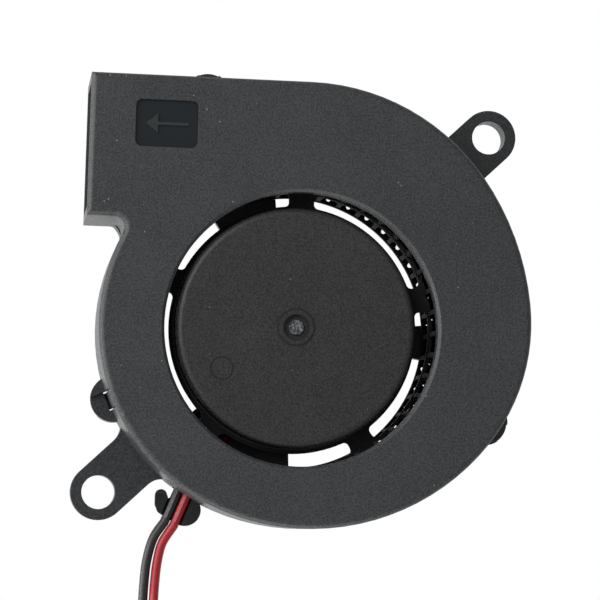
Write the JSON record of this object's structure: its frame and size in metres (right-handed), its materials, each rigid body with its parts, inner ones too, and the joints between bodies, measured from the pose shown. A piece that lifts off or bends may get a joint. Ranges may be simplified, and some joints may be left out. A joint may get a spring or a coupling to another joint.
{
  "type": "dc blower fan",
  "caption": "Flat square-class centrifugal blower: snap-together black volute housing, radial impeller with hub motor, side outlet, two mounting ears and two flying leads.",
  "frame": {"origin": "rotor axis at the flat underside of the base", "axes": "+Z along the rotor axis from the base towards the inlet; -X towards the outlet; +Y towards the straight top wall of the outlet"},
  "size_m": [0.061, 0.0965, 0.015],
  "materials": {
    "housing_plastic": "matt moulded glass-filled black plastic",
    "cover_plastic": "matt, finely sparked black plastic",
    "impeller_plastic": "matt black moulded plastic",
    "bearing_bronze": "sintered bronze",
    "white_plastic": "natural nylon",
    "black_rubber": "black nitrile",
    "board_green": "green solder mask",
    "chip_black": "black epoxy",
    "solder": "tinned",
    "core_steel": "silicon steel and zinc-plated steel",
    "copper_wire": "enamelled copper",
    "magnet": "bonded ferrite",
    "shaft_steel": "ground stainless steel",
    "red_pvc": "red PVC insulation",
    "black_pvc": "black PVC insulation",
    "connector_nylon": "natural nylon"
  },
  "bodies": {
    "housing": {"base_housing": "housing_plastic", "top_cover": "cover_plastic", "sleeve_bearing": "bearing_bronze", "thrust_plate": "white_plastic", "oil_seal": "black_rubber", "circuit_board": "board_green", "driver_chip": "chip_black", "board_parts": "chip_black", "lead_solder": "solder", "lower_insulator": "white_plastic", "stator_core": "core_steel", "upper_insulator": "white_plastic", "stator_coils": "copper_wire", "winding_pins": "solder", "red_lead_inner": "red_pvc", "black_lead_inner": "black_pvc", "red_lead": "red_pvc", "black_lead": "black_pvc", "lead_coil": "red_pvc", "coil_tie": "white_plastic", "red_tail": "red_pvc", "black_tail": "black_pvc", "connector_housing": "connector_nylon", "connector_contacts": "solder"},
    "rotor": {"impeller": "impeller_plastic", "rotor_yoke": "core_steel", "magnet_ring": "magnet", "shaft_bushing": "bearing_bronze", "shaft": "shaft_steel", "retaining_clip": "white_plastic"}
  },
  "joints": [
    {"name": "rotor_spin", "type": "hinge", "parent": "housing", "child": "rotor", "pos_m": [0, 0, 0.007], "axis": [0, 0, 1], "continuous": true}
  ]
}
